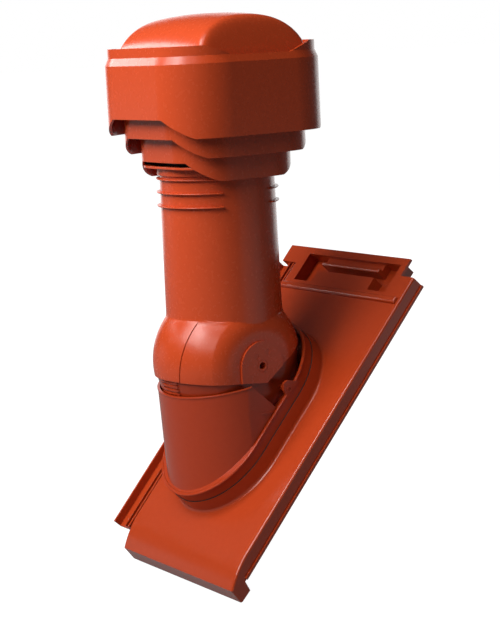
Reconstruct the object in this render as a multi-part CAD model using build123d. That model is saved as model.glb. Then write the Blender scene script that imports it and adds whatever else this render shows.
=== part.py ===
from build123d import *
from math import asin, cos, radians, sin, sqrt, tan
import os

# Roof tile vent. A plastic tile carries a ball joint, so that the vent pipe
# can stand upright on roofs of different pitch, and a louvred hood on top.
# All sizes are in millimetres. Heights are measured from the tilting axis,
# and the finished pieces are then lifted so that the origin lies at the
# centre of the duct spigot's lower end. +Z runs up the pipe, +Y points up
# the slope and +X to the right for someone looking up the slope.

# Roof and ball joint
roof_pitch = 47.5
pivot_above_tile = 69.5
spigot_drop = 50.0
ball_radius = 78.6
ball_wall = 2.4
ball_flat = 63.3
shoulder_round = 37.3
shoulder_lift = 0.5
joint_gap = 0.4
flat_gap = 0.3
hose_way_radius = 57.0
hose_way_top = -42.0
ball_top_front = 30.0
ball_top_rear = 22.0
rear_plate_low = 4.6
pivot_pin_radius = 5.2
pivot_pin_bore = 3.9
pivot_head_radius = 6.4
pivot_head_depth = 1.2
pin_running_gap = 0.05
pin_seat_gap = 0.3
tooth_count = 5
tooth_first = -14.0
tooth_pitch = 4.4
tooth_width = 32.0
tooth_height = 1.3
tooth_flat = 0.2
tooth_lean = 0.3
tooth_back = 0.6
pocket_side = 1.5
pocket_top = 4.0

# Bulb at the foot of the pipe
bulb_wall = 2.3
ear_radius = 27.0
ear_step = 2.5
band_half_low = 23.0
band_half_high = 32.0
band_step = 1.0
bulb_rim = [(-95.0, -12.0), (-23.0, -16.0), (5.0, -19.0), (27.0, -3.0), (65.0, 21.0), (95.0, 40.0)]
mark_radius = 3.0
mark_depth = 0.5
marks = [(-7.5, 11.0), (7.5, 14.5)]

# Pipe
pipe_radius_low = 63.75
pipe_radius_high = 62.0
pipe_wall = 2.4
pipe_top = 213.7
neck_fillet = 14.0
neck_height = 50.0
fin_drops = [11.7, 26.3, 40.9]
fin_reach = 3.8
fin_thickness = 1.6
fin_round = 0.7
fin_half_angle = 61.0

# Inner duct and its spacers
duct_radius = 55.0
duct_wall = 2.2
duct_rise = 86.3
duct_lip = 2.0
duct_lip_height = 4.0
spacer_gap = 0.3
spacer_draft_gap = 0.12
spacer_height = 12.0
spacer_wall = 2.0
spacer_rib_count = 8
spacer_rib_width = 3.0
spacer_heights = [75.0, 185.0]

# Hood
hood_wall = 2.5
hood_corner = 58.0
hood_corner_share = 1 / 3
base_half = 71.5
middle_half = 85.0
skirt_half = 98.5
base_edge_drop = 12.2
middle_edge_rise = 13.3
skirt_edge_rise = 34.8
edge_lift = 19.5
base_lift = (42.0, 68.0)
middle_lift = (44.0, 76.0)
skirt_lift = (48.0, 83.0)
base_ring_rise = 52.3
middle_ring_rise = 78.3
plate_rise = 0.3
sleeve_drop = 8.0
sleeve_gap = 0.45
rib_offset = 24.0
rib_width = 2.2
rib_height = 16.0
bevel_rise = 110.3
bevel_height = 8.0
band_inset = 3.4
band_height = 10.0
rim_dip = 11.0
rim_low_half = 36.0
rim_shoulder = 30.0
deck_drop = 1.0
dome_half_x = 84.5
dome_half_y = 66.5
dome_rise = 36.0
dome_height = 53.0
dome_lean = 16.0
dome_crease = 10.0
dome_flange = 5.0
flange_gap = 0.4
flange_thickness = 2.5

# Tile
tile_wall = 3.0
cover_right = 124.0
cover_left = 93.0
nose_reach = 222.0
nose_run = 39.0
nose_drop = 9.0
nose_bend_run = 0.55
nose_bend_drop = 0.32
nose_under_run = 0.5
nose_lip = 18.5
nose_lean = 3.2
foot_length = 16.0
foot_rise = 1.0
foot_back = 4.0
foot_neck_run = 0.3
foot_neck_drop = 0.5
side_reach = 172.0
head_reach = 195.0
head_left = 118.0
head_right = 102.0
flange_depth = 17.0
flange_lip = 2.0
lip_height = 3.0
side_round = 2.5
channel_drop = 12.0
channel_width = 38.0
channel_start = 199.0
channel_ribs = [6.0, 13.0]
channel_rib_height = 9.0
channel_rib_width = 2.4
water_bar_place = 140.0
water_bar_height = 3.5
water_bar_width = 8.0
water_bar_round = 2.5
water_bar_left = 92.0
water_bar_right = 119.0
trough_left = 75.0
trough_right = 92.0
trough_low = 149.0
trough_high = 186.0
trough_depth = 15.0
step_left = 42.0
step_right = 61.0
step_reach = 16.0
ledge_drop = 5.0
cross_bar_width = 5.0
cross_bar_round = 2.0
hook_width = 34.0
hook_offset = 62.0
hook_place = 141.0
hook_drop = 22.0
hook_thickness = 5.0
under_rib_depth = 9.0
under_rib_places = [-168.0, 84.0]

# Curb on the tile, collar ring on the curb and front apron
curb_run = 75.0
curb_radius = 80.4
curb_height = 16.4
curb_taper = 5.0
curb_wall = 4.0
curb_fillet = 3.5
seal_thickness = 0.8
seal_inset = 0.5
collar_radius = 77.2
collar_wall = 2.3
collar_top = 30.0
collar_taper = 3.0
collar_skirt_drop = 10.0
collar_gap = 0.3
bead_reach = 1.1
bead_height = 3.0
lug_outline = [(-12.0, 26.0), (-8.0, 36.0), (-3.0, 41.0), (3.0, 39.5), (11.0, 26.0)]
lug_thickness = 3.4
lug_corner = 3.0
lug_pin_place = (-3.0, 31.0)
lug_pin_radius = 3.0
lug_pin_head = 3.6
lug_pin_head_depth = 0.8
lug_pin_gap = 0.05
lug_pin_proud = 0.4
lug_pin_recess = 0.4
apron_radius = 78.6
apron_foot_half_x = 77.0
apron_foot_half_y = 68.7
apron_wall = 2.3
apron_flat = 74.6
apron_rim_front = -28.6
apron_rim_slope = 11.0
apron_rim_place = -71.3
apron_side_end = -27.0
apron_bead = 0.6
apron_bead_height = 1.6
apron_foot = 2.4
apron_top = -8.0
apron_low = -160.0
deck_wall = 2.4
ball_deck_end = -5.0

# How far cutting shapes reach past what they cut
over = 1.0
far = 400.0

# Values that follow from the sizes above
slope = radians(roof_pitch)
tile_foot = (0, pivot_above_tile * sin(slope), -pivot_above_tile * cos(slope))
tile_plane = Plane(origin=tile_foot, x_dir=(1, 0, 0), z_dir=(0, -sin(slope), cos(slope)))
bulb_inner = ball_radius + joint_gap
bulb_radius = bulb_inner + bulb_wall
bulb_flat_inner = ball_flat + flat_gap
bulb_flat = bulb_flat_inner + bulb_wall
ear_face = bulb_flat + ear_step
duct_top = pipe_top + duct_rise
base_edge = pipe_top - base_edge_drop
middle_edge = pipe_top + middle_edge_rise
skirt_edge = pipe_top + skirt_edge_rise
base_ring_top = pipe_top + base_ring_rise
middle_ring_top = pipe_top + middle_ring_rise
plate_height = pipe_top + plate_rise
bevel_start = pipe_top + bevel_rise
bevel_end = bevel_start + bevel_height
rim_high = bevel_end + band_height
deck_height = bevel_start - deck_drop
dome_top = deck_height + dome_height
curb_top_radius = curb_radius - curb_height * tan(radians(curb_taper))
curb_bore = curb_top_radius - curb_wall
seal_top = curb_height + seal_thickness
collar_bore = collar_radius - collar_wall
deck_low = seal_top + collar_wall
lug_face = collar_radius + lug_thickness - collar_wall


def box_between(low, high):
    """A box given by its lowest and highest corners."""
    size = [high[i] - low[i] for i in range(3)]
    centre = [(high[i] + low[i]) / 2 for i in range(3)]
    return Pos(*centre) * Box(*size)


def on_tile(shape):
    """Moves a shape from the tile's own frame to the frame of the pipe.

    In the tile's frame X runs across, Y up the slope and Z out of the top face.
    """
    return tile_plane.location * shape


def stadium(radius):
    """Outline round the curb: two half circles joined by straight sides."""
    return Pos(0, -curb_run / 2) * SlotCenterToCenter(curb_run, 2 * radius, rotation=90)


def stadium_block(radius, low, high, taper=0.0):
    """A block with the curb's outline, from one height to another."""
    return Pos(0, 0, low) * extrude(stadium(radius), high - low, taper=taper)


def side_prism(points, half_width=far):
    """A prism across the vent, from an outline in Y and Z."""
    face = make_face(Plane.YZ * Polyline(*points, close=True))
    return extrude(face, half_width, both=True)


def front_prism(points, half_length=far):
    """A prism along the slope's direction, from an outline in X and Z."""
    face = make_face(Plane.XZ * Polyline(*points, close=True))
    return extrude(face, half_length, both=True)


def hood_outline(half):
    """Rounded square of the hood, with corners that tighten on the smaller walls."""
    corner = hood_corner - (skirt_half - half) * hood_corner_share
    return RectangleRounded(2 * half, 2 * half, corner)


def hood_tube(half, low, high, wall=hood_wall):
    """A wall of the hood, open at both ends."""
    outer = extrude(hood_outline(half), high - low)
    inner = extrude(offset(hood_outline(half), -wall), high - low)
    return Pos(0, 0, low) * (outer - inner)


def edge_wave(low, lift):
    """What is cut away below a louvre, so that its front and back edges lift."""
    flat_end, slope_end = lift
    return front_prism([
        (-slope_end, low - over), (-slope_end, low), (-flat_end, low + edge_lift),
        (flat_end, low + edge_lift), (slope_end, low), (slope_end, low - over),
    ])


def hood_ribs(inner_half, outer_half, low):
    """Upright ribs that bridge the gap between two walls of the hood."""
    ribs = []
    depth = outer_half - inner_half
    for turn in range(4):
        for side in (-1, 1):
            rib = Box(depth, rib_width, rib_height)
            place = Pos(inner_half + depth / 2, side * rib_offset, low + rib_height / 2)
            ribs.append(Rot(0, 0, 90 * turn) * place * rib)
    return ribs


def barrel(radius, flat, corner):
    """Ball with flattened sides that run over into it by a wide round."""
    lifted = radius + shoulder_lift
    lean = asin((flat - corner) / (lifted - corner))
    edge = (lifted - flat * sin(lean)) / cos(lean)
    cap = make_face(Polyline((-flat, 0), (flat, 0), (flat, edge), (0, lifted / cos(lean)),
                             (-flat, edge), close=True))
    ends = cap.vertices().filter_by(lambda point: abs(point.Y - edge) < 1)
    return revolve(Plane.XZ * fillet(ends, corner), Axis.X)


def make_roof_tile():
    """Tile with its nose, interlocks, head trough, curb, hooks and ribs."""
    nose_top = -nose_reach + nose_run
    lip_tip = (-nose_reach - nose_lean, -nose_drop - nose_lip)
    skin = Polyline((side_reach, 0), (nose_top, 0))
    bend = ThreePointArc(
        (nose_top, 0),
        (nose_top - nose_run * nose_bend_run, -nose_drop * nose_bend_drop),
        (-nose_reach, -nose_drop),
    )
    front = Line((-nose_reach, -nose_drop), lip_tip)
    under = Polyline(
        lip_tip, (lip_tip[0] + tile_wall, lip_tip[1]),
        (-nose_reach + tile_wall, -nose_drop - tile_wall / 2),
        (nose_top - nose_run * nose_under_run, -nose_drop * nose_bend_drop - tile_wall),
        (nose_top, -tile_wall), (side_reach, -tile_wall), (side_reach, 0),
    )
    section = make_face(Plane.YZ * (skin + bend + front + under))
    pan = Pos(-cover_left, 0, 0) * extrude(section, cover_left + cover_right)
    pan += box_between((-head_left, side_reach, -tile_wall), (head_right, head_reach, 0))

    # Right side flange with its foot at the nose and its small lip
    inner_face = cover_right - tile_wall
    pan += box_between((inner_face, nose_top, -flange_depth), (cover_right, side_reach, 0))
    pan += box_between(
        (inner_face, nose_top - nose_run / 2, -flange_depth),
        (cover_right + flange_lip, side_reach, -flange_depth + lip_height),
    )
    foot = Polyline(
        (nose_top, -tile_wall / 2),
        (-nose_reach + nose_run * foot_neck_run, -nose_drop * foot_neck_drop - tile_wall / 2),
        (-nose_reach + tile_wall / 2, -nose_drop - tile_wall / 2),
        lip_tip, (lip_tip[0] + foot_length, lip_tip[1] - foot_rise),
        (lip_tip[0] + foot_length + foot_back, -flange_depth), (nose_top, -flange_depth), close=True,
    )
    foot_face = make_face(Plane.YZ * foot)
    pan += Pos(inner_face, 0, 0) * extrude(foot_face, tile_wall)
    pan += Pos(-cover_left, 0, 0) * extrude(foot_face, tile_wall)

    # Rounded upper edges along both sides and round the nose
    for side in (-cover_left, cover_right):
        side_edges = pan.edges().filter_by(
            lambda edge: abs(edge.bounding_box().min.X - side) < 0.01
            and abs(edge.bounding_box().max.X - side) < 0.01
        )
        top_edges = side_edges.filter_by(
            lambda edge: edge.bounding_box().min.Z > -0.01 or edge.center().Y < -nose_reach
            or (edge.center().Z > -nose_drop and edge.center().Y < nose_top)
        )
        pan = fillet(top_edges, side_round)

    # Left interlock: a lower channel with upright ribs
    outer_edge = -cover_left - channel_width
    floor_low = -channel_drop - tile_wall
    pan += box_between(
        (-cover_left, -channel_start, floor_low), (-cover_left + tile_wall, side_reach, -tile_wall),
    )
    pan += box_between((outer_edge, -channel_start, floor_low), (-cover_left, side_reach, -channel_drop))
    for place in list(channel_ribs) + [channel_width - channel_rib_width / 2]:
        middle = -cover_left - place
        half = channel_rib_width / 2
        pan += box_between(
            (middle - half, -channel_start, -channel_drop),
            (middle + half, side_reach, -channel_drop + channel_rib_height),
        )
    pan += box_between((-head_left, side_reach, floor_low), (-cover_left + tile_wall, head_reach, 0))

    # Head: rounded water bar, trough with a raised step and ledge, and a cross bar
    bar = box_between(
        (-water_bar_left, water_bar_place - water_bar_width / 2, -tile_wall / 2),
        (water_bar_right, water_bar_place + water_bar_width / 2, water_bar_height),
    )
    pan += fillet(bar.edges().group_by(Axis.Z)[-1], water_bar_round)
    trough = box_between(
        (-trough_left, trough_low, -trough_depth), (trough_right, trough_high, water_bar_height)
    )
    trough_skin = box_between(
        (-trough_left - tile_wall, trough_low - tile_wall, -trough_depth - tile_wall),
        (trough_right + tile_wall, trough_high + tile_wall, 0),
    )
    pan = (pan + trough_skin) - trough
    step_wall = box_between(
        (-step_left, trough_low, -trough_depth), (step_right, trough_low + step_reach, 0)
    )
    step_hollow = box_between(
        (-step_left + tile_wall, trough_low, -far),
        (step_right - tile_wall, trough_low + step_reach - tile_wall, -tile_wall),
    )
    pan = (pan + step_wall) - step_hollow
    bar_place = (trough_low + step_reach + trough_high) / 2
    ledge = box_between((-step_left, bar_place, -trough_depth), (step_right, trough_high, -ledge_drop))
    ledge_hollow = box_between(
        (-step_left + tile_wall, bar_place + tile_wall, -far),
        (step_right - tile_wall, trough_high, -ledge_drop - tile_wall),
    )
    pan = (pan + ledge) - ledge_hollow
    cross_bar = box_between(
        (-step_left, bar_place - cross_bar_width / 2, -trough_depth),
        (step_right, bar_place + cross_bar_width / 2, 0),
    )
    pan += fillet(cross_bar.edges().group_by(Axis.Z)[-1], cross_bar_round)

    # Curb round the opening
    curb = stadium_block(curb_radius, 0, curb_height, curb_taper)
    pan += curb
    base_edges = pan.edges().filter_by(
        lambda edge: abs(edge.bounding_box().max.Z) < 0.01
        and abs(edge.bounding_box().min.Z) < 0.01
        and edge.bounding_box().max.X < curb_radius + 0.1
        and edge.bounding_box().min.X > -curb_radius - 0.1
        and edge.bounding_box().max.Y < curb_radius + 0.1
        and edge.bounding_box().min.Y > -curb_run - curb_radius - 0.1
    )
    pan = fillet(base_edges, curb_fillet)
    pan -= stadium_block(curb_bore, -tile_wall - over, curb_height + over)

    # Underside: two hooks for the batten and cross ribs
    for middle in (-hook_offset, hook_offset):
        pan += box_between(
            (middle - hook_width / 2, hook_place, -hook_drop),
            (middle + hook_width / 2, hook_place + hook_thickness, -tile_wall / 2),
        )
    for place in under_rib_places:
        pan += box_between(
            (-cover_left + over, place - tile_wall / 2, -under_rib_depth),
            (inner_face + over, place + tile_wall / 2, -tile_wall / 2),
        )
    return on_tile(pan)


def make_collar_seal():
    """Flat sealing ring between the curb and the collar."""
    ring = stadium_block(curb_top_radius - seal_inset, curb_height, seal_top)
    ring -= stadium_block(curb_bore, curb_height - over, seal_top + over)
    return on_tile(ring)


def make_collar_ring():
    """Collar on the curb: band, bead on its top edge, skirt and two lugs."""
    foot_radius = collar_radius + (collar_top - seal_top) * tan(radians(collar_taper))
    ring = stadium_block(foot_radius, seal_top, collar_top, collar_taper)
    bead = stadium_block(collar_radius + bead_reach, collar_top - bead_height, collar_top)
    bead_edges = bead.edges().filter_by(lambda edge: abs(edge.bounding_box().max.Z
                                                         - edge.bounding_box().min.Z) < 0.01)
    ring += fillet(bead_edges, bead_reach)
    ring += stadium_block(curb_bore - collar_gap, seal_top - collar_skirt_drop, seal_top + over)
    ring -= stadium_block(collar_bore, seal_top + collar_wall, collar_top + over)
    ring -= stadium_block(curb_bore - collar_gap - collar_wall, 0, collar_top)
    for side in (-1, 1):
        hole = lug_pin_shape(side, lug_pin_gap, collar_bore - over, lug_face + over)
        head_room = lug_pin_head - lug_pin_radius + lug_pin_gap
        hole += lug_pin_shape(side, head_room, lug_face - lug_pin_head_depth, lug_face + over)
        tab = make_face(Plane.YZ * Polyline(*lug_outline, close=True))
        crown = tab.vertices().filter_by(lambda corner: corner.Z > lug_outline[0][1] + over)
        start = collar_bore if side > 0 else -lug_face
        ring += Pos(start, 0, 0) * extrude(fillet(crown, lug_corner), lug_face - collar_bore, dir=(1, 0, 0))
        ring -= hole
    return on_tile(ring)


def lug_pin_shape(side, extra, start, end):
    """Round bar across the collar's lug, in the tile's frame."""
    bar = Rot(0, 90 * side, 0) * Cylinder(lug_pin_radius + extra, end - start)
    return Pos(side * (start + end) / 2, lug_pin_place[0], lug_pin_place[1]) * bar


def make_lug_pin(side):
    """Pin that locks the collar to the flat side of the ball shell."""
    pin = lug_pin_shape(side, 0, ball_flat, lug_face - lug_pin_head_depth)
    pin += lug_pin_shape(side, lug_pin_head - lug_pin_radius, lug_face - lug_pin_head_depth,
                         lug_face + lug_pin_proud)
    pin -= lug_pin_shape(side, -lug_pin_radius / 2, lug_face - lug_pin_recess, lug_face + over)
    return on_tile(pin)


def make_front_apron():
    """Tapered front shell over the ball, with a lip and a foot on the collar."""
    def tapered_body(inset):
        low = Pos(0, 0, apron_low) * Ellipse(apron_foot_half_x - inset, apron_foot_half_y - inset)
        high = Pos(0, 0, apron_top) * Circle(apron_radius - inset)
        return loft([low, high]) & Box(2 * (apron_flat - inset), far, 2 * far)

    shell = tapered_body(0)
    hollow = tapered_body(apron_wall)
    rise = tan(radians(apron_rim_slope))

    def rim_at(y):
        return apron_rim_front + (y - apron_rim_place) * rise

    def below_rim(shift):
        return side_prism([
            (-far, rim_at(-far) - shift), (far, rim_at(far) - shift), (far, -far), (-far, -far),
        ])

    side_cut = on_tile(box_between((-far, -far, collar_top - apron_foot), (far, apron_side_end, far)))
    lip = tapered_body(-apron_bead) & (below_rim(0) - below_rim(apron_bead_height))
    foot_outer = on_tile(stadium_block(collar_bore - collar_gap, collar_top - apron_foot, collar_top))
    apron = ((shell & below_rim(0)) + lip + foot_outer) & side_cut
    return apron - hollow


def make_ball_shell():
    """Fixed half of the ball joint: shell, ratchet teeth and carrying deck."""
    outer = Sphere(ball_radius) & barrel(ball_radius, ball_flat, shoulder_round)
    inner = Sphere(ball_radius - ball_wall) & barrel(
        ball_radius - ball_wall, ball_flat - ball_wall, shoulder_round - ball_wall)
    front = radians(ball_top_front)
    rear = radians(ball_top_rear)
    top_cut = side_prism([
        (-ball_radius * cos(front), ball_radius * sin(front)),
        (ball_radius * cos(rear), ball_radius * sin(rear)),
        (far, ball_radius * sin(rear)), (far, far), (-far, far), (-far, ball_radius * sin(front)),
    ])
    low_cut = on_tile(box_between((-far, -far, -far), (far, far, deck_low)))
    keep_rear = on_tile(box_between((-far, ball_deck_end, rear_plate_low), (far, far, far)))
    skirt = on_tile(stadium_block(collar_bore - collar_gap, deck_low, deck_low + deck_wall))
    deck_keep = on_tile(box_between((-far, -far, deck_low), (far, ball_deck_end, deck_low + deck_wall)))
    ball = outer - top_cut
    ball = (ball - low_cut) + (ball & keep_rear)
    ball += skirt & deck_keep

    # Rear plate under the collar's skirt and the wall that joins it to the deck
    plate = stadium_block(curb_bore - collar_gap, rear_plate_low, rear_plate_low + deck_wall)
    ball += on_tile(plate & box_between((-far, ball_deck_end, 0), (far, far, far)))
    riser = stadium_block(curb_bore - 2 * collar_gap - collar_wall, rear_plate_low, deck_low + deck_wall)
    ball += on_tile(riser & box_between((-far, ball_deck_end - deck_wall, 0), (far, ball_deck_end, far)))
    ball -= inner

    # Ratchet teeth on the front of the ball
    for index in range(tooth_count):
        angle = asin(tooth_first / ball_radius) - index * tooth_pitch / ball_radius
        reach = ball_radius * cos(angle)
        height = ball_radius * sin(angle)
        root = ball_radius - ball_wall / 2
        tooth = Polyline(
            (-root * cos(angle), root * sin(angle)),
            (-reach - tooth_height * tooth_flat, height + tooth_pitch * tooth_flat),
            (-reach - tooth_height, height - tooth_pitch * tooth_lean),
            (-reach + tooth_height * tooth_lean, height - tooth_pitch * tooth_back), close=True,
        )
        bar = extrude(make_face(Plane.YZ * tooth), tooth_width / 2, both=True)
        ball += bar & Sphere(ball_radius + tooth_height)
    ball -= Rot(0, 90, 0) * Cylinder(pivot_pin_radius, far)

    # Way for the hose below the duct's spigot
    return ball - Pos(0, 0, hose_way_top - far / 2) * Cylinder(hose_way_radius, far)


def make_pivot_rivet(side):
    """Hollow rivet that the ear turns on."""
    start = ball_flat - ball_wall - pivot_head_depth
    shank_end = ear_face - pivot_head_depth
    shank = Rot(0, 90, 0) * Cylinder(pivot_pin_radius, shank_end - start)
    rivet = Pos((start + shank_end) / 2, 0, 0) * shank
    rivet += Pos(start + pivot_head_depth / 2, 0, 0) * Rot(0, 90, 0) * Cylinder(
        pivot_head_radius, pivot_head_depth
    )
    head = Pos(shank_end + pivot_head_depth / 2, 0, 0) * Rot(0, 90, 0) * Cylinder(
        pivot_head_radius, pivot_head_depth
    )
    rivet += head
    rivet -= Rot(0, 90, 0) * Cylinder(pivot_pin_bore, far)
    return rivet if side > 0 else Rot(0, 0, 180) * rivet


def pipe_profile(radius_low, radius_high, top):
    """Half outline of the tapered pipe, down to the tilting axis."""
    return make_face(Polyline((0, 0), (radius_low, 0), (radius_low, neck_height),
                              (radius_high, top), (0, top), close=True))


def make_stack_pipe():
    """Pipe with its bulb, ears, raised front band and clamping fins."""
    tube = pipe_profile(pipe_radius_low, pipe_radius_high, pipe_top)
    half_plane = Pos(far / 2, 0) * Rectangle(far, 2 * far)
    necked = (Circle(bulb_radius) + tube) & half_plane
    neck_level = sqrt(bulb_radius ** 2 - pipe_radius_low ** 2)
    corner = necked.vertices().sort_by_distance((pipe_radius_low, neck_level, 0))[0]
    necked = revolve(Plane.XZ * fillet(corner, neck_fillet), Axis.Z)
    bulb = necked & barrel(bulb_radius, bulb_flat, shoulder_round + joint_gap + bulb_wall)
    outer = bulb + revolve(Plane.XZ * tube, Axis.Z)
    bore = pipe_profile(pipe_radius_low - pipe_wall, pipe_radius_high - pipe_wall, pipe_top + over)
    inner = Sphere(bulb_inner) & barrel(bulb_inner, bulb_flat_inner, shoulder_round + joint_gap)
    inner += revolve(Plane.XZ * bore, Axis.Z)

    band = Sphere(bulb_radius + band_step) & front_prism([
        (-band_half_low, bulb_rim[0][1]), (band_half_low, bulb_rim[0][1]),
        (band_half_high, neck_height + 2 * over), (-band_half_high, neck_height + 2 * over),
    ])
    band = band & box_between((-far, -far, -far), (far, 0, far))
    body = outer + band

    # Ears: raised pads round the tilting axis, with two small round marks
    pad = Circle(ear_radius) + Pos(0, -ear_radius) * Rectangle(2 * ear_radius, 2 * ear_radius)
    for side in (-1, 1):
        start = bulb_flat - over if side > 0 else -ear_face
        body += Pos(start, 0, 0) * extrude(Plane.YZ * pad, ear_step + over)

    # Fins for the hood's clamp, left open at the sides
    for drop in fin_drops:
        height = pipe_top - drop
        share = (height - neck_height) / (pipe_top - neck_height)
        radius = pipe_radius_low + (pipe_radius_high - pipe_radius_low) * share
        fin = Pos(0, 0, height) * Cylinder(radius + fin_reach, fin_thickness)
        fin_edges = fin.edges().filter_by(GeomType.CIRCLE)
        fin = fillet(fin_edges, fin_round)
        reach = far * tan(radians(90 - fin_half_angle))
        bow_tie = make_face(Polyline((0, 0), (far, reach), (far, -reach), close=True))
        gap = extrude(bow_tie, far, both=True)
        fin = fin - gap - Rot(0, 0, 180) * gap
        body += fin

    body -= inner
    pocket = Sphere(ball_radius + tooth_height + joint_gap)
    half = tooth_width / 2 + pocket_side
    body -= pocket & box_between((-half, -far, -far), (half, 0, pocket_top))
    body -= side_prism(list(bulb_rim) + [(far, -far), (-far, -far)])

    for side in (-1, 1):
        head_start = ear_face - pivot_head_depth
        seat = Rot(0, 90, 0) * Cylinder(pivot_head_radius + pin_seat_gap, 2 * pivot_head_depth)
        body -= Pos(side * (head_start + pivot_head_depth), 0, 0) * seat
        for mark in marks:
            dimple = Rot(0, 90, 0) * Cylinder(mark_radius, 2 * mark_depth)
            body -= Pos(side * ear_face, mark[0], mark[1]) * dimple
    body -= Rot(0, 90, 0) * Cylinder(pivot_pin_radius + pin_running_gap, far)
    return body


def make_inner_duct():
    """Straight duct through the pipe, with a rolled lip at the top."""
    length = duct_top + spigot_drop
    middle = (duct_top - spigot_drop) / 2
    duct = Pos(0, 0, middle) * Cylinder(duct_radius, length)
    lip = Pos(0, 0, duct_top - duct_lip_height / 2) * Cylinder(duct_radius + duct_lip, duct_lip_height)
    duct += fillet(lip.edges().filter_by(GeomType.CIRCLE), duct_lip_height / 3)
    return duct - Pos(0, 0, middle) * Cylinder(duct_radius - duct_wall, length + 2 * over)


def make_duct_spacer(height):
    """Ring with ribs that centres the duct in the pipe."""
    share = (height - neck_height) / (pipe_top - neck_height)
    bore = pipe_radius_low + (pipe_radius_high - pipe_radius_low) * share - pipe_wall
    outer = bore - spacer_gap - spacer_draft_gap
    inner = duct_radius + spacer_gap
    ring = Cylinder(inner + spacer_wall, spacer_height)
    for index in range(spacer_rib_count):
        rib = Pos((inner + outer) / 2, 0, 0) * Box(outer - inner, spacer_rib_width, spacer_height)
        ring += Rot(0, 0, 360 / spacer_rib_count * index) * rib
    ring = ring & Cylinder(outer, spacer_height)
    return Pos(0, 0, height) * (ring - Cylinder(inner, spacer_height + 2 * over))


def make_louvre_base():
    """Lowest louvre with the plate and the sleeve that sits on the pipe."""
    ring = hood_tube(base_half, base_edge, base_ring_top)
    plate = Pos(0, 0, plate_height) * extrude(hood_outline(base_half - hood_wall / 2), hood_wall)
    sleeve_radius = pipe_radius_high + sleeve_gap
    sleeve = Pos(0, 0, plate_height - sleeve_drop / 2) * Cylinder(sleeve_radius + hood_wall, sleeve_drop)
    hollow = Cylinder(sleeve_radius, sleeve_drop + 2 * over)
    hollow = Pos(0, 0, plate_height - sleeve_drop / 2 - over) * hollow
    hollow = hollow & box_between((-far, -far, -far), (far, far, plate_height))
    ring = (ring - edge_wave(base_edge, base_lift)) + plate + sleeve
    ring -= hollow
    return ring - Cylinder(duct_radius + spacer_gap, far * 2)


def make_louvre_middle():
    """Middle louvre with ribs that hold it round the lowest one."""
    ring = hood_tube(middle_half, middle_edge, middle_ring_top)
    ring -= edge_wave(middle_edge, middle_lift)
    for rib in hood_ribs(base_half, middle_half - hood_wall / 2, base_ring_top - rib_height):
        ring += rib
    return ring


def make_outer_skirt():
    """Outer wall of the hood: skirt, bevelled shoulder, rim band and deck."""
    def block(half):
        low = extrude(hood_outline(half), bevel_start - skirt_edge)
        inset = band_inset / (bevel_end - bevel_start)
        bevel = extrude(hood_outline(half), bevel_end - bevel_start, taper=Vector(1, inset).get_angle(
            Vector(1, 0)))
        band = extrude(offset(hood_outline(half), -band_inset), rim_high - bevel_end)
        body = Pos(0, 0, skirt_edge) * low + Pos(0, 0, bevel_start) * bevel
        return body + Pos(0, 0, bevel_end) * band

    skirt = block(skirt_half) - block(skirt_half - hood_wall)
    skirt -= edge_wave(skirt_edge, skirt_lift)
    reach = rim_low_half + rim_shoulder
    skirt -= side_prism([
        (-reach, rim_high + over), (-reach, rim_high), (-rim_low_half, rim_high - rim_dip),
        (rim_low_half, rim_high - rim_dip), (reach, rim_high), (reach, rim_high + over),
    ])
    deck = extrude(hood_outline(skirt_half - hood_wall / 2), hood_wall)
    deck -= extrude(Rectangle(2 * (dome_half_x - dome_flange), 2 * (dome_half_y - dome_flange)), hood_wall)
    skirt += Pos(0, 0, deck_height) * deck
    for rib in hood_ribs(middle_half, skirt_half - hood_wall / 2, middle_ring_top - rib_height):
        skirt += rib
    return skirt


def dome_block(half_x, half_y, rise, low, spring):
    """Vault with an elliptic section and ends that lean inwards."""
    section = Pos(0, spring) * Ellipse(half_y, rise)
    section += Pos(0, (low + spring) / 2) * Rectangle(2 * half_y, spring - low)
    section = section & (Pos(0, low + far / 2) * Rectangle(far, far))
    vault = extrude(Plane.YZ * section, far, both=True)
    top = spring + rise
    back = (top - low) * tan(radians(dome_lean))
    return vault & front_prism([
        (-half_x, low), (half_x, low), (half_x - back, top + 0.001), (-half_x + back, top + 0.001),
    ])


def make_dome_lid():
    """Vaulted lid on the deck, with a flange round its foot."""
    low = deck_height + hood_wall
    spring = dome_top - dome_rise
    dome = dome_block(dome_half_x, dome_half_y, dome_rise, low, spring)
    creases = dome.edges().filter_by(
        lambda edge: edge.bounding_box().max.Z > spring + over
        and edge.bounding_box().size.Y > dome_half_y
    )
    dome = fillet(creases, dome_crease)
    flange = RectangleRounded(2 * (dome_half_x + dome_flange), 2 * (dome_half_y + dome_flange), dome_flange)
    flange = flange & offset(hood_outline(skirt_half), -band_inset - hood_wall - flange_gap)
    dome += Pos(0, 0, low) * extrude(flange, flange_thickness)
    hollow = dome_block(dome_half_x - hood_wall, dome_half_y - hood_wall, dome_rise - hood_wall,
                        low - over, spring)
    return dome - hollow


pieces = {
    "roof_tile": make_roof_tile(),
    "collar_seal": make_collar_seal(),
    "collar_ring": make_collar_ring(),
    "front_apron": make_front_apron(),
    "ball_shell": make_ball_shell(),
    "lug_pin_left": make_lug_pin(-1),
    "lug_pin_right": make_lug_pin(1),
    "pivot_rivet_left": make_pivot_rivet(-1),
    "pivot_rivet_right": make_pivot_rivet(1),
    "stack_pipe": make_stack_pipe(),
    "inner_duct": make_inner_duct(),
    "duct_spacer_lower": make_duct_spacer(spacer_heights[0]),
    "duct_spacer_upper": make_duct_spacer(spacer_heights[1]),
    "louvre_base": make_louvre_base(),
    "louvre_middle": make_louvre_middle(),
    "outer_skirt": make_outer_skirt(),
    "dome_lid": make_dome_lid(),
}

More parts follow.
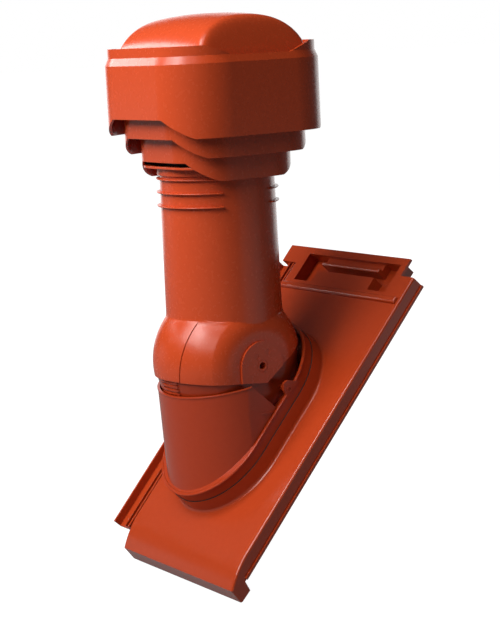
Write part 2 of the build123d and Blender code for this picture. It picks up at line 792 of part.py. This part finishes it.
os.makedirs("parts", exist_ok=True)
for name, shape in pieces.items():
    export_step(Pos(0, 0, spigot_drop) * shape, "parts/" + name + ".step")
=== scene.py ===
import bpy
import math
import numpy as np
from mathutils import Matrix


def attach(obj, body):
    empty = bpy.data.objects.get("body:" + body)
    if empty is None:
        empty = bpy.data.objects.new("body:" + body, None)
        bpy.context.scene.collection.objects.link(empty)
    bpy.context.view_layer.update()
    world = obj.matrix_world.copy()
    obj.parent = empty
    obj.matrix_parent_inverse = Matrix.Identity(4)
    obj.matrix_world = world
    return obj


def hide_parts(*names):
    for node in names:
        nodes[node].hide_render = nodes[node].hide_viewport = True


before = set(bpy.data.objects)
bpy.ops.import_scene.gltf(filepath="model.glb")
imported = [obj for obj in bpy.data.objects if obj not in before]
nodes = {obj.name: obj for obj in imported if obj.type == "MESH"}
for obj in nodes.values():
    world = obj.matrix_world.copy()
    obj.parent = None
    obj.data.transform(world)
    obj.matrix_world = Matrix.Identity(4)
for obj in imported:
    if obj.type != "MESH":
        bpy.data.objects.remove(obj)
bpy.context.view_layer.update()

mmInMetre = 1000
print("frame loaded:", len(nodes), "nodes")


# sRGB hex to the linear values that the shader wants, by sRGB's own curve
def linearColour(hexText):
    parts = [int(hexText[i:i + 2], 16) / 255 for i in (1, 3, 5)]
    linear = [c / 12.92 if c <= 0.04045 else ((c + 0.055) / 1.055) ** 2.4 for c in parts]
    return (*linear, 1.0)


# adds one shader node, sets its values and joins its inputs
def addNode(tree, kind, values=None, links=None):
    node = tree.nodes.new(kind)
    for key, value in (values or {}).items():
        node.inputs[key].default_value = value
    for key, source in (links or {}).items():
        tree.links.new(source, node.inputs[key])
    return node


# makes an object at the origin and puts it in the scene
def addPiece(name, data):
    piece = bpy.data.objects.new(name, data)
    bpy.context.scene.collection.objects.link(piece)
    return piece


# What all five materials share: the plastic's refraction, how much of the noise's span is used
# between the two tones, and how rich the noises are
moulding = {"ior": 1.49, "spanLow": 0.15, "spanHigh": 0.85, "cloudDetail": 2.0, "grainDetail": 1.0}


# Moulded or extruded plastic. A sparked mould leaves a fine grain that softens the gloss, and
# the melt cools unevenly, which gives a faint mottle of gloss and tone. Real grain is about a
# tenth of a millimetre, too fine to show here, so it is drawn about a millimetre coarse.
def formedPlastic(name, look):
    material = bpy.data.materials.new(name)
    material.use_nodes = True
    tree = material.node_tree
    shader = tree.nodes["Principled BSDF"]
    shader.inputs["IOR"].default_value = moulding["ior"]
    shader.inputs["Metallic"].default_value = 0.0
    shader.inputs["Specular IOR Level"].default_value = look["specular"]
    place = addNode(tree, "ShaderNodeTexCoord").outputs["Object"]
    clouds = addNode(tree, "ShaderNodeTexNoise", {
        "Scale": mmInMetre / look["cloudMm"], "Detail": moulding["cloudDetail"],
    }, {"Vector": place})
    grain = addNode(tree, "ShaderNodeTexNoise", {
        "Scale": mmInMetre / look["grainMm"], "Detail": moulding["grainDetail"],
    }, {"Vector": place})
    tone = addNode(tree, "ShaderNodeValToRGB", None, {"Fac": clouds.outputs["Fac"]})
    tone.color_ramp.elements[0].position = moulding["spanLow"]
    tone.color_ramp.elements[0].color = linearColour(look["deep"])
    tone.color_ramp.elements[1].position = moulding["spanHigh"]
    tone.color_ramp.elements[1].color = linearColour(look["light"])
    gloss = addNode(tree, "ShaderNodeMapRange", {
        "From Min": moulding["spanLow"], "From Max": moulding["spanHigh"],
        "To Min": look["roughness"] - look["glossSpread"],
        "To Max": look["roughness"] + look["glossSpread"],
    }, {"Value": clouds.outputs["Fac"]})
    bump = addNode(tree, "ShaderNodeBump", {
        "Strength": look["grainStrength"], "Distance": look["grainDeepMm"] / mmInMetre,
    }, {"Height": grain.outputs["Fac"]})
    tree.links.new(tone.outputs["Color"], shader.inputs["Base Color"])
    tree.links.new(gloss.outputs["Result"], shader.inputs["Roughness"])
    tree.links.new(bump.outputs["Normal"], shader.inputs["Normal"])
    return material


# Terracotta polypropylene, soft satin: lamps spread over hood and pipe as a wide glow
stackLook = {
    "deep": "#BD431D", "light": "#C14620", "roughness": 0.27, "specular": 0.4,
    "glossSpread": 0.012, "cloudMm": 5, "grainMm": 0.9, "grainDeepMm": 0.03, "grainStrength": 0.1,
}
# Brick red polypropylene, satin: a shade darker, so the ball joint stands off from the pipe
collarLook = {
    "deep": "#A03313", "light": "#A43615", "roughness": 0.26, "specular": 0.4,
    "glossSpread": 0.012, "cloudMm": 5, "grainMm": 0.9, "grainDeepMm": 0.03, "grainStrength": 0.1,
}
# Brick red polypropylene, satin to glossy: the tile's rolls and lips carry tighter highlights
tileLook = {
    "deep": "#A93A18", "light": "#AE3D1A", "roughness": 0.2, "specular": 0.5,
    "glossSpread": 0.012, "cloudMm": 6, "grainMm": 1.1, "grainDeepMm": 0.03, "grainStrength": 0.1,
}
# Dark grey polypropylene, matt: the duct reads as a dark hollow with a dull sheen
ductLook = {
    "deep": "#2C2D2E", "light": "#323334", "roughness": 0.5, "specular": 0.5,
    "glossSpread": 0.012, "cloudMm": 50, "grainMm": 1.0, "grainDeepMm": 0.03, "grainStrength": 0.1,
}
# Black elastomer, matt: a seal ring at the collar's foot, partly real and partly painted shade of
# the seam's gap; a line that gives no highlight
sealAndSeamShadeLook = {
    "deep": "#141414", "light": "#1A1A1A", "roughness": 0.7, "specular": 0.4,
    "glossSpread": 0.04, "cloudMm": 20, "grainMm": 0.8, "grainDeepMm": 0.05, "grainStrength": 0.3,
}
stackPlastic = formedPlastic("mouldedPolypropyleneStack", stackLook)
collarPlastic = formedPlastic("mouldedPolypropyleneCollar", collarLook)
tilePlastic = formedPlastic("mouldedPolypropyleneTile", tileLook)
ductPlastic = formedPlastic("extrudedPolypropyleneDuct", ductLook)
# the seal's black is partly painted shade, the shadow in the seam between collar and curb
sealAndSeamShade = formedPlastic("elastomerSealAndSeamShade", sealAndSeamShadeLook)
print("materials made")


# Each moulded piece: its material, the rounding of its edges in millimetres
# and the smallest angle between faces, in degrees, that is rounded
finishes = {
    "roof_tile": (tilePlastic, 0.7, 32),
    # black seal ring, partly painted shade of the seam between collar and curb
    "collar_seal": (sealAndSeamShade, 0.0, 32),
    "collar_ring": (collarPlastic, 0.4, 32),
    "front_apron": (collarPlastic, 0.4, 32),
    "ball_shell": (collarPlastic, 0.25, 32),
    "lug_pin_left": (collarPlastic, 0.2, 32),
    "lug_pin_right": (collarPlastic, 0.2, 32),
    "pivot_rivet_left": (stackPlastic, 0.2, 32),
    "pivot_rivet_right": (stackPlastic, 0.2, 32),
    "stack_pipe": (stackPlastic, 0.4, 32),
    "inner_duct": (ductPlastic, 0.3, 32),
    "duct_spacer_lower": (ductPlastic, 0.3, 32),
    "duct_spacer_upper": (ductPlastic, 0.3, 32),
    "louvre_base": (stackPlastic, 0.5, 32),
    "louvre_middle": (stackPlastic, 0.5, 32),
    "outer_skirt": (stackPlastic, 0.8, 16),
    "dome_lid": (stackPlastic, 0.6, 32),
}
# Corners closer than this, in metres, are one corner; a rounded edge has this many faces
edges = {"joinWithin": 0.00001, "roundSegments": 2}
for name, (material, roundMm, roundFrom) in finishes.items():
    piece = nodes[name]
    piece.data.materials.clear()
    piece.data.materials.append(material)
    weld = piece.modifiers.new("join", "WELD")
    weld.merge_threshold = edges["joinWithin"]
    if roundMm:
        bevel = piece.modifiers.new("roundEdges", "BEVEL")
        bevel.width = roundMm / mmInMetre
        bevel.segments = edges["roundSegments"]
        bevel.limit_method = "ANGLE"
        bevel.angle_limit = math.radians(roundFrom)
        bevel.use_clamp_overlap = True
        bevel.harden_normals = False
    smooth = piece.modifiers.new("evenNormals", "WEIGHTED_NORMAL")
    smooth.keep_sharp = True
    piece.data.polygons.foreach_set("use_smooth", np.ones(len(piece.data.polygons), bool))
print("pieces finished")


# Vaulted lid, in millimetres. The vault's height is the rise times the p-th root of one less
# the p-th power of y over the vault's half width, so it is steep at the sides and flat on top.
# It sinks towards the ends by the square of x over the half length. Each end is cut by a
# slope, the distance left to the end times a steepness. The lid takes the lower of vault and
# slope, eased where they meet, and never goes under the flange's top.
# The rings run from the flange's outer edge over the foot and in to the crown.
lid = {
    "halfX": 87.0, "halfY": 67.5, "cornerMm": 20.0, "footZ": 375.5,
    "flangeMm": 4.0, "flangeThickMm": 2.5, "wallMm": 2.5,
    "riseMm": 49.5, "vaultSpread": 1.02, "vaultPower": 2.4, "crownSinkMm": 5.5,
    "endSteepness": 3.4, "blendMm": 7.0,
    "aroundCount": 240, "ringCount": 70, "ringPower": 2, "lastRing": 0.995,
}
# The first point's turn in radians, just off the axis, and how often the span is halved
outlineSearch = {"startTurn": 0.001, "halvings": 40}


# points of a rounded rectangle, evenly turned about its middle; the distance along each turn
# is found by halving a span
def roundedOutline(halfX, halfY, corner, count):
    turns = np.linspace(0, 2 * np.pi, count, endpoint=False) + outlineSearch["startTurn"]
    across, along = np.cos(turns), np.sin(turns)
    near, far = np.zeros(count), np.full(count, halfX + halfY)
    for _ in range(outlineSearch["halvings"]):
        middleReach = (near + far) / 2
        overX = np.maximum(np.abs(across) * middleReach - (halfX - corner), 0)
        overY = np.maximum(np.abs(along) * middleReach - (halfY - corner), 0)
        inside = np.hypot(overX, overY) < corner
        near, far = np.where(inside, middleReach, near), np.where(inside, far, middleReach)
    return np.stack((across * near, along * near), axis=1)


# the lid's height over the deck at each place
def lidHeight(place, look):
    across, along = np.abs(place[..., 0]), np.abs(place[..., 1])
    vaultHalf = look["halfY"] * look["vaultSpread"]
    power = look["vaultPower"]
    vault = look["riseMm"] * np.clip(1 - (along / vaultHalf) ** power, 0, 1) ** (1 / power)
    vault = vault - look["crownSinkMm"] * (across / look["halfX"]) ** 2
    end = (look["halfX"] - across) * look["endSteepness"]
    blend = look["blendMm"]
    height = -blend * np.log(np.exp(-vault / blend) + np.exp(-end / blend))
    return np.maximum(height, look["flangeThickMm"])


# a mesh from closed rings of points, in millimetres; the last ring is always capped
def gridMesh(name, rings, capStart, smooth):
    ringCount, count, _ = rings.shape
    verts = rings.reshape(-1, 3) / mmInMetre
    low = np.arange(count)
    high = np.roll(low, -1)
    steps = np.arange(ringCount - 1)[:, None] * count
    faces = np.stack((steps + low, steps + high, steps + high + count, steps + low + count), axis=2)
    faceList = faces.reshape(-1, 4).tolist()
    faceList.append(list(range((ringCount - 1) * count, ringCount * count)))
    if capStart:
        faceList.append(list(range(count))[::-1])
    mesh = bpy.data.meshes.new(name)
    mesh.from_pydata(verts.tolist(), [], faceList)
    mesh.polygons.foreach_set("use_smooth", np.full(len(faceList), smooth))
    return mesh


foot = roundedOutline(lid["halfX"], lid["halfY"], lid["cornerMm"], lid["aroundCount"])
edge = roundedOutline(lid["halfX"] + lid["flangeMm"], lid["halfY"] + lid["flangeMm"],
                      lid["cornerMm"] + lid["flangeMm"], lid["aroundCount"])
inward = 1 - np.linspace(0, 1, lid["ringCount"]) ** lid["ringPower"] * lid["lastRing"]
places = foot[None] * inward[:, None, None]
lidRings = np.concatenate((places, lidHeight(places, lid)[..., None]), axis=2)
edgeRings = [np.column_stack((edge, np.full(len(edge), z))) for z in (0.0, lid["flangeThickMm"])]
lidRings = np.concatenate((np.array(edgeRings), lidRings), axis=0)
lidRings[..., 2] += lid["footZ"]
domeLid = addPiece("domeLid", gridMesh("domeLid", lidRings, False, True))
domeLid.data.materials.append(stackPlastic)
lidWall = domeLid.modifiers.new("wall", "SOLIDIFY")
lidWall.thickness = lid["wallMm"] / mmInMetre
lidWall.offset = -1
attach(domeLid, "stack")
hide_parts("dome_lid")
print("lid made")


# Web between the apron and the ball, in millimetres, which keeps rain out of the roof. A
# rectangle is carried round the front. Its inner side keeps one distance from the middle, in
# the ball's wall. Its outer side follows an ellipse: at each turn, one over the root of the
# summed squares of cosine over half length and sine over half width. The ellipse only comes
# near the apron's true line. It stands up to 0.9 mm out of the apron beside the X axis, is up
# to 0.24 mm short of it 17 to 30 degrees further round, and ends short of the collar.
web = {
    "fromDeg": 167.0, "toDeg": 373.0, "aroundCount": 120,
    "innerMm": 58.6, "halfX": 75.5, "halfY": 74.4, "lowZ": -1.0, "highZ": 1.0,
}
webTurns = np.radians(np.linspace(web["fromDeg"], web["toDeg"], web["aroundCount"]))
webAcross, webAlong = np.cos(webTurns), np.sin(webTurns)
webOuter = 1 / np.hypot(webAcross / web["halfX"], webAlong / web["halfY"])
webInner = np.full(web["aroundCount"], web["innerMm"])
webReach = np.stack((webInner, webInner, webOuter, webOuter), axis=1)
webHeights = (web["lowZ"], web["highZ"], web["highZ"], web["lowZ"])
webRings = np.stack((webAcross[:, None] * webReach, webAlong[:, None] * webReach,
                     np.broadcast_to(webHeights, webReach.shape)), axis=2)
apronWeb = addPiece("apronWeb", gridMesh("apronWeb", webRings, True, False))
apronWeb.data.materials.append(collarPlastic)
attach(apronWeb, "base")
print("web made")


# Studio, in metres: a pale floor, a white surround, nine soft lamps and a black card
studio = {
    "floorZ": -0.1862, "floorSize": 60.0, "floorColour": "#707070", "floorRoughness": 0.9,
    "floorGlow": 1.0, "floorShine": 0.16, "glowColour": (1.0, 1.0, 1.0, 1.0),
    "worldColour": "#FFFFFF", "fillStrength": 0.05, "backdropStrength": 1.0,
    "lampAim": (0.0, 0.0, 0.14),
}


# paint without gloss, and its shader
def mattPaint(name, hexText):
    paint = bpy.data.materials.new(name)
    paint.use_nodes = True
    shader = paint.node_tree.nodes["Principled BSDF"]
    shader.inputs["Base Color"].default_value = linearColour(hexText)
    shader.inputs["Specular IOR Level"].default_value = 0.0
    return paint, shader


# a flat piece of the studio, from its four corners
def addSheet(name, corners, paint):
    mesh = bpy.data.meshes.new(name)
    mesh.from_pydata(corners, [], [(0, 1, 2, 3)])
    mesh.materials.append(paint)
    return addPiece(name, mesh)


# The floor glows white for the camera, since the photograph's ground is pure white, and weakly
# in the part's gloss; it throws no light of its own on the part
floorPaint, floorShader = mattPaint("floorPaint", studio["floorColour"])
floorTree = floorPaint.node_tree
floorShader.inputs["Roughness"].default_value = studio["floorRoughness"]
floorShader.inputs["Emission Color"].default_value = studio["glowColour"]
floorRay = addNode(floorTree, "ShaderNodeLightPath")
floorGlow = addNode(floorTree, "ShaderNodeMapRange", {
    "To Min": 0.0, "To Max": studio["floorGlow"],
}, {"Value": floorRay.outputs["Is Camera Ray"]})
floorShine = addNode(floorTree, "ShaderNodeMapRange", {
    "To Max": studio["floorShine"],
}, {"Value": floorRay.outputs["Is Glossy Ray"], "To Min": floorGlow.outputs["Result"]})
floorTree.links.new(floorShine.outputs["Result"], floorShader.inputs["Emission Strength"])
floorHalf = studio["floorSize"] / 2
floorCorners = [(across * floorHalf, along * floorHalf, studio["floorZ"])
                for across, along in ((-1, -1), (1, -1), (1, 1), (-1, 1))]
floor = addSheet("floor", floorCorners, floorPaint)

# The surround is white where the camera sees it and lights the part only faintly
world = bpy.data.worlds.new("studio")
world.use_nodes = True
backdrop = world.node_tree.nodes["Background"]
backdrop.inputs["Color"].default_value = linearColour(studio["worldColour"])
seen = addNode(world.node_tree, "ShaderNodeLightPath").outputs["Is Camera Ray"]
strength = addNode(world.node_tree, "ShaderNodeMapRange", {
    "To Min": studio["fillStrength"], "To Max": studio["backdropStrength"],
}, {"Value": seen})
world.node_tree.links.new(strength.outputs["Result"], backdrop.inputs["Strength"])
bpy.context.scene.world = world


# puts an object at a place, with its own X, Y and Z along the three directions
def placeAlong(holder, place, side, top, back):
    turn = Matrix([list(row) for row in np.column_stack((side, top, back))]).to_4x4()
    holder.matrix_world = Matrix.Translation(place) @ turn


# adds a lamp that shines from a place to a point; a lamp shines along its own -Z
def aimLamp(name, lamp, place, target):
    away = np.array(place) - np.array(target)
    away = away / np.linalg.norm(away)
    side = np.cross((0.0, 0.0, 1.0), away)
    side = side / np.linalg.norm(side)
    placeAlong(addPiece(name, lamp), place, side, np.cross(away, side), away)


# Most light comes from the nose's side, -Y, which is the left of the picture. Turn and rise
# are in degrees from +X and from the level; reach and size are in metres.
softBoxes = {
    "keyBox": {"turn": 262, "rise": 38, "reach": 2.3, "size": (1.4, 1.1), "watts": 36},
    "topBox": {"turn": 248, "rise": 57, "reach": 2.3, "size": (0.5, 0.5), "watts": 18},
    "frontBox": {"turn": 270, "rise": 43, "reach": 2.3, "size": (0.5, 0.5), "watts": 6},
    "fillBox": {"turn": 294, "rise": 32, "reach": 2.4, "size": (1.4, 1.0), "watts": 14},
    "skyBox": {"turn": 300, "rise": 64, "reach": 2.6, "size": (1.0, 1.0), "watts": 15},
    "sideStrip": {"turn": 217, "rise": 22.5, "reach": 4.5, "size": (4.4, 0.5), "watts": 82},
    "backBoard": {"turn": 138, "rise": 7, "reach": 2.6, "size": (4.0, 1.4), "watts": 26},
    "leftBoard": {"turn": 209, "rise": 1, "reach": 3.0, "size": (1.2, 0.5), "watts": 0.8},
    "rightBoard": {"turn": 27, "rise": -8, "reach": 1.2, "size": (0.95, 0.3), "watts": 0.4},
}
middle = studio["lampAim"]
for name, look in softBoxes.items():
    lamp = bpy.data.lights.new(name, "AREA")
    lamp.shape = "RECTANGLE"
    lamp.size, lamp.size_y = look["size"]
    lamp.energy = look["watts"]
    turn, rise = math.radians(look["turn"]), math.radians(look["rise"])
    way = (math.cos(turn) * math.cos(rise), math.sin(turn) * math.cos(rise), math.sin(rise))
    aimLamp(name, lamp, [middle[i] + way[i] * look["reach"] for i in range(3)], middle)

# A flag, the black card that keeps the side strip off the tile, in metres; neither the camera
# nor diffuse light meets it, only shadow and gloss do
flagLook = {"turn": 218, "away": 1.5, "wide": 2.6, "low": 0.3, "high": 0.8, "colour": "#0A0A0A"}
flagTurn = math.radians(flagLook["turn"])
flagMiddle = np.array((math.cos(flagTurn), math.sin(flagTurn))) * flagLook["away"]
flagSide = np.array((-math.sin(flagTurn), math.cos(flagTurn))) * flagLook["wide"] / 2
flagCorners = [(*(flagMiddle + flagSide * end), flagLook[level])
               for end, level in ((-1, "low"), (1, "low"), (1, "high"), (-1, "high"))]
flagPaint, _ = mattPaint("flagBlack", flagLook["colour"])
flag = addSheet("flag", flagCorners, flagPaint)
flag.visible_camera = flag.visible_diffuse = False
print("studio lit")


# Camera as fitted to the photograph's outlines: its place in metres, its lens and sensor in
# millimetres, and two of its directions
cameraFit = {
    "place": (1.5657, -1.0502, 0.4034), "lens": 99.8, "sensor": 36.0, "clipEnd": 50,
    "right": (0.5753, 0.8164, -0.0502), "ahead": (-0.8115, 0.5620, -0.1600),
}
cameraData = bpy.data.cameras.new("camera")
cameraData.lens = cameraFit["lens"]
cameraData.sensor_width = cameraFit["sensor"]
cameraData.clip_end = cameraFit["clipEnd"]
cameraObject = addPiece("camera", cameraData)
ahead = np.array(cameraFit["ahead"]) / np.linalg.norm(cameraFit["ahead"])
sideways = np.array(cameraFit["right"]) - np.dot(cameraFit["right"], ahead) * ahead
sideways = sideways / np.linalg.norm(sideways)
placeAlong(cameraObject, cameraFit["place"], sideways, np.cross(sideways, ahead), -ahead)
bpy.context.scene.camera = cameraObject
bpy.context.scene.view_settings.view_transform = "Standard"
print("camera set")
